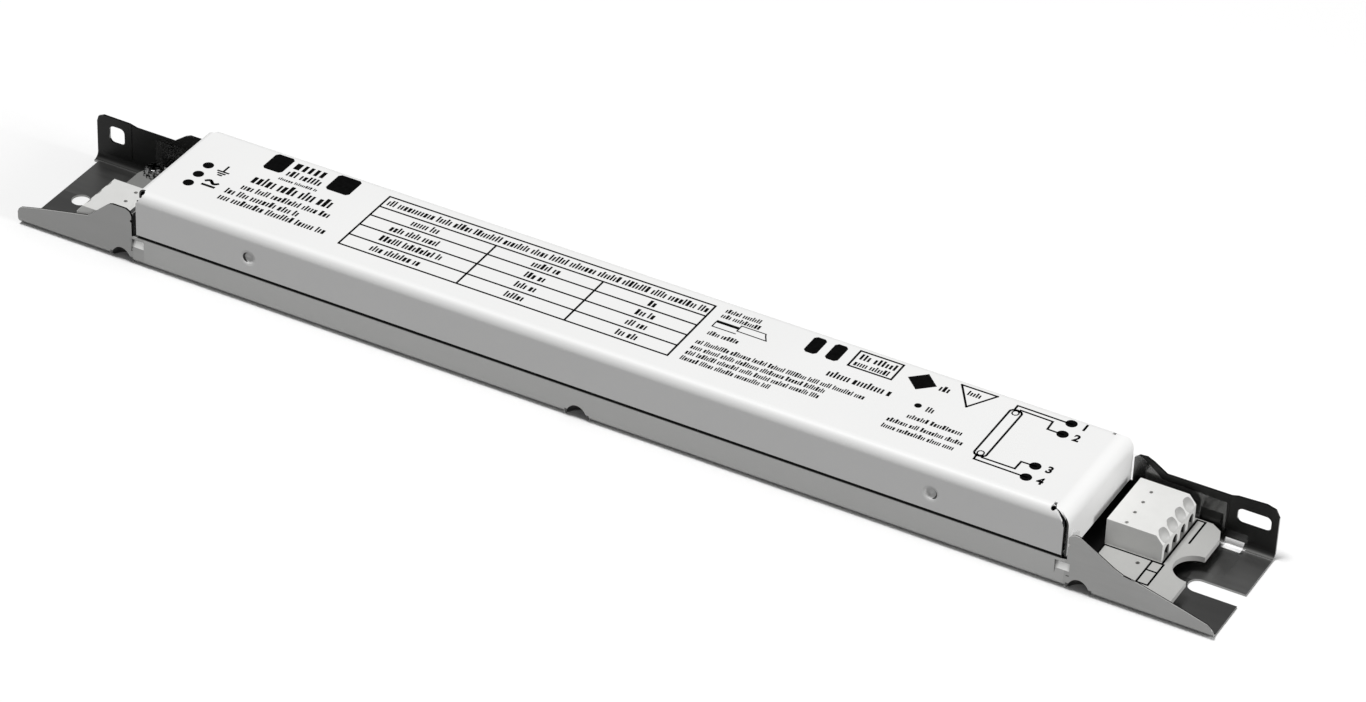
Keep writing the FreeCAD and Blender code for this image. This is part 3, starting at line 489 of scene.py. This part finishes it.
def field(points):
    """A filled printed area with straight sides."""
    base = [print_mesh.verts.new((x * MM, y * MM, INK_LOW)) for x, y in points]
    face = print_mesh.faces.new(base)
    lifted = bmesh.ops.extrude_face_region(print_mesh, geom=[face])["geom"]
    corners = [v for v in lifted if isinstance(v, bmesh.types.BMVert)]
    bmesh.ops.translate(print_mesh, vec=(0, 0, INK_HIGH - INK_LOW), verts=corners)


def patch(x0, x1, y0, y1, corner=0.8):
    """A filled upright field with its corners cut."""
    field([(x0 + corner, y0), (x1 - corner, y0), (x1, y0 + corner), (x1, y1 - corner),
           (x1 - corner, y1), (x0 + corner, y1), (x0, y1 - corner), (x0, y0 + corner)])


def words(x0, x1, y, tall, weight):
    """A line of words: short upright bars in groups, with the baseline at y."""
    x = x0
    left = dice.randint(3, 8)
    while x + weight < x1:
        rise = tall * (1.0 if dice.random() < 0.33 else 0.74)
        wide = weight * dice.choice((0.9, 1.0, 1.0, 1.6))
        field([(x, y), (x + wide, y), (x + wide, y + rise), (x, y + rise)])
        left -= 1
        x += wide + weight * (0.72 if left else 2.0)
        if not left:
            left = dice.randint(4, 11)


for y in (2.24, -2.77, -7.77):
    dot(-131.7, y, 1.55)
drawn([(-126.5, 4.4), (-126.5, 1.6)], LINE)
for wide, y in ((1.6, 1.56), (1.0, 0.62), (0.45, -0.3)):
    drawn([(-126.45 - wide, y), (-126.45 + wide, y)], LINE)
drawn([(-128.1 + 0.4 * k, -4.35 + 0.55 * math.sin(k * math.pi / 4.5)) for k in range(10)], BOLD)
drawn([(-128.0, -6.35), (-124.6, -6.35)], BOLD)

patch(-118.9, -112.8, 9.1, 17.2)
patch(-98.8, -91.4, 9.1, 17.2)
words(-111.3, -100.2, 12.9, 4.1, 1.15)
words(-111.3, -99.9, 9.1, 2.8, 0.62)
words(-112.0, -99.4, 6.4, 1.2, 0.34)
words(-117.6, -92.1, 1.1, 4.1, 0.72)
words(-118.2, -90.4, -3.0, 2.5, 0.52)
words(-121.0, -97.2, -6.8, 2.6, 0.54)
words(-121.0, -86.5, -10.3, 2.6, 0.54)

rows_y = [14.92, 9.4, 4.55, -0.8, -6.3, -11.65]
TABLE = (-81.5, 18.95)
for y in rows_y:
    drawn([(TABLE[0], y), (TABLE[1], y)], LINE)
for x in TABLE:
    drawn([(x, rows_y[0]), (x, rows_y[-1])], LINE)
for x in (-44.9, -12.0):
    drawn([(x, rows_y[1]), (x, rows_y[-1])], LINE)
words(-80.3, 18.1, 10.9, 2.8, 0.54)
cells = [(-69.7, -61.0, 5.7), (-73.3, -57.6, 0.5), (-73.3, -53.5, -4.8), (-73.0, -57.5, -10.2),
         (-32.3, -24.2, 5.7), (-31.5, -25.0, 0.5), (-31.5, -25.0, -4.8), (-31.5, -25.0, -10.2),
         (3.2, 5.8, 5.7), (2.2, 8.5, 0.5), (2.2, 8.5, -4.8), (2.2, 8.5, -10.2)]
for x0, x1, y in cells:
    words(x0, x1, y, 2.7, 0.54)

words(22.4, 32.8, 13.6, 1.9, 0.40)
words(22.4, 34.3, 11.0, 1.9, 0.40)
words(23.0, 32.2, 2.3, 1.9, 0.40)
field([(22.4, 8.35), (29.2, 8.35), (29.2, 9.45), (22.4, 9.45)])
drawn([(22.5, 8.4), (22.5, 6.25), (29.4, 6.25)], FINE)
drawn([(29.2, 7.6), (29.2, 10.3), (36.4, 10.3), (36.9, 9.2), (37.9, 7.5), (29.2, 7.6)], FINE)
for x1, y in ((71.9, -2.9), (61.5, -5.7), (61.5, -8.55), (48.7, -11.4)):
    words(22.3, x1, y, 2.0, 0.37)

patch(48.0, 51.8, 8.7, 16.3)
patch(54.2, 58.0, 8.7, 16.3)
drawn([(61.2, 9.0), (73.8, 9.0), (73.8, 16.6), (61.2, 16.6), (61.2, 9.0)], LINE)
words(62.4, 72.8, 12.9, 2.7, 0.66)
words(62.2, 72.8, 9.8, 2.2, 0.46)
words(58.3, 77.5, 1.9, 2.9, 0.58)
field([(77.0, 12.4), (81.2, 8.4), (85.4, 12.4), (81.2, 16.4)])
words(86.4, 90.0, 11.1, 2.5, 0.54)
drawn([(90.6, 16.6), (100.9, 16.6), (95.9, 8.3), (90.6, 16.6)], LINE)
words(93.6, 98.0, 13.2, 2.1, 0.46)
dot(85.0, 2.3, 1.0)
words(87.6, 90.4, 0.9, 2.3, 0.46)
words(84.7, 100.3, -4.0, 1.9, 0.42)
words(80.8, 102.1, -7.8, 1.9, 0.37)
words(80.8, 102.3, -10.9, 1.9, 0.37)

drawn([(106.3, -7.8), (106.3, 12.6)], LINE)
drawn([(109.7, -8.0), (109.7, 12.2)], LINE)
for cy, start in ((12.4, 0.0), (-8.0, math.pi)):
    cap = [start + math.pi * k / 8 for k in range(9)]
    filament = [math.pi * k / 5 for k in range(11)]
    drawn([(108.0 + 1.7 * math.cos(t), cy + 1.4 * math.sin(t)) for t in cap], LINE)
    drawn([(108.0 + 0.9 * math.cos(t), cy + 1.0 * math.sin(t)) for t in filament], FINE)
drawn([(107.1, 13.4), (107.1, 15.7), (122.5, 15.5)], LINE)
drawn([(108.7, 13.2), (108.7, 14.2), (117.9, 14.0), (118.1, 10.3), (122.5, 10.2)], LINE)
drawn([(108.9, -8.8), (109.2, -9.6), (118.4, -9.6), (118.5, -6.0), (122.5, -5.9)], LINE)
drawn([(107.4, -9.0), (107.6, -11.2), (122.5, -11.4)], LINE)
for y in (15.7, 10.3, -5.9, -11.4):
    dot(122.4, y, 1.6)

for figure, y in (("1", 15.7), ("2", 10.35), ("3", -5.7), ("4", -11.25)):
    curve = bpy.data.curves.new("pole_number", "FONT")
    curve.body = figure
    curve.size = 4.0 * MM
    curve.offset = 0.17 * MM
    curve.align_x = "CENTER"
    curve.align_y = "CENTER"
    typed = bpy.data.objects.new("pole_number", curve)
    bpy.context.scene.collection.objects.link(typed)
    bpy.context.view_layer.update()
    ready = typed.evaluated_get(bpy.context.evaluated_depsgraph_get())
    flat = bpy.data.meshes.new_from_object(ready)
    bpy.data.objects.remove(typed)
    narrow = Matrix.Diagonal((0.88, 1.0, 1.0, 1.0))
    flat.transform(Matrix.Translation((126.3 * MM, y * MM, INK_HIGH)) @ narrow)
    print_mesh.from_mesh(flat)
    bpy.data.meshes.remove(flat)

finished("cover_print", print_mesh, ink)

# The stage is a plain pale floor under soft studio light: one lamp overhead, one to the right that
# lights the terminal ends, and an even grey room. The camera stands where the photograph was
# taken from.
floor_finish = Finish("studio_floor", Roughness=0.9)
seen = floor_finish.node("ShaderNodeLightPath", outlet="Is Camera Ray")
mirrored = floor_finish.node("ShaderNodeLightPath", outlet="Is Glossy Ray")
through = floor_finish.node("ShaderNodeLightPath", outlet="Is Transmission Ray")
white = any_of(seen, mirrored, through)
floor_finish.set(Base_Color=floor_finish.blend((0.30, 0.30, 0.30), (1.0, 1.0, 1.0), white),
                 Specular_IOR_Level=0.0)
ground = bmesh.new()
bmesh.ops.create_grid(ground, x_segments=1, y_segments=1, size=6.0,
                      matrix=Matrix.Translation((0, 0, -0.02 * MM)))
floor_data = bpy.data.meshes.new("studio_floor")
ground.to_mesh(floor_data)
ground.free()
floor_data.materials.append(floor_finish.material)
floor = bpy.data.objects.new("studio_floor", floor_data)
bpy.context.scene.collection.objects.link(floor)

room = bpy.data.worlds.new("studio_room")
room.use_nodes = True
room.node_tree.nodes["Background"].inputs["Color"].default_value = (1.0, 1.0, 1.0, 1.0)
room.node_tree.nodes["Background"].inputs["Strength"].default_value = 0.21
bpy.context.scene.world = room


def lamp(name, place, size, power):
    """A round soft lamp aimed at the middle of the object."""
    light = bpy.data.lights.new(name, "AREA")
    light.shape = "DISK"
    light.size = size
    light.energy = power
    stand = bpy.data.objects.new(name, light)
    stand.location = place
    stand.rotation_euler = (-Vector(place)).to_track_quat("-Z", "Y").to_euler()
    bpy.context.scene.collection.objects.link(stand)
    return stand


lamp("overhead_lamp", (-0.4, -0.28, 2.5), 0.8, 46.0)
lamp("side_lamp", (2.55, -0.1, 0.75), 1.0, 36.0).visible_glossy = False

CAMERA_PLACE = Vector((542.148, -1014.813, 812.194)) * MM
YAW, PITCH, ROLL = math.radians(27.34), math.radians(34.83), math.radians(2.36)
right = Vector((math.cos(YAW), math.sin(YAW), 0.0))
level = Vector((-math.sin(YAW), math.cos(YAW), 0.0))
ahead = level * math.cos(PITCH) - Vector((0.0, 0.0, math.sin(PITCH)))
up = right.cross(ahead)
across = math.cos(ROLL) * right + math.sin(ROLL) * up
upward = -math.sin(ROLL) * right + math.cos(ROLL) * up
eye = bpy.data.cameras.new("camera")
eye.sensor_width = 36.0
eye.lens = 36.0 * 5299.4 / 1366.0
eye.clip_start = 0.05
eye.clip_end = 50.0
camera = bpy.data.objects.new("camera", eye)
aim = Matrix((across, upward, -ahead)).transposed().to_4x4()
camera.matrix_world = Matrix.Translation(CAMERA_PLACE) @ aim
bpy.context.scene.collection.objects.link(camera)
bpy.context.scene.camera = camera
bpy.context.scene.view_settings.view_transform = "Standard"
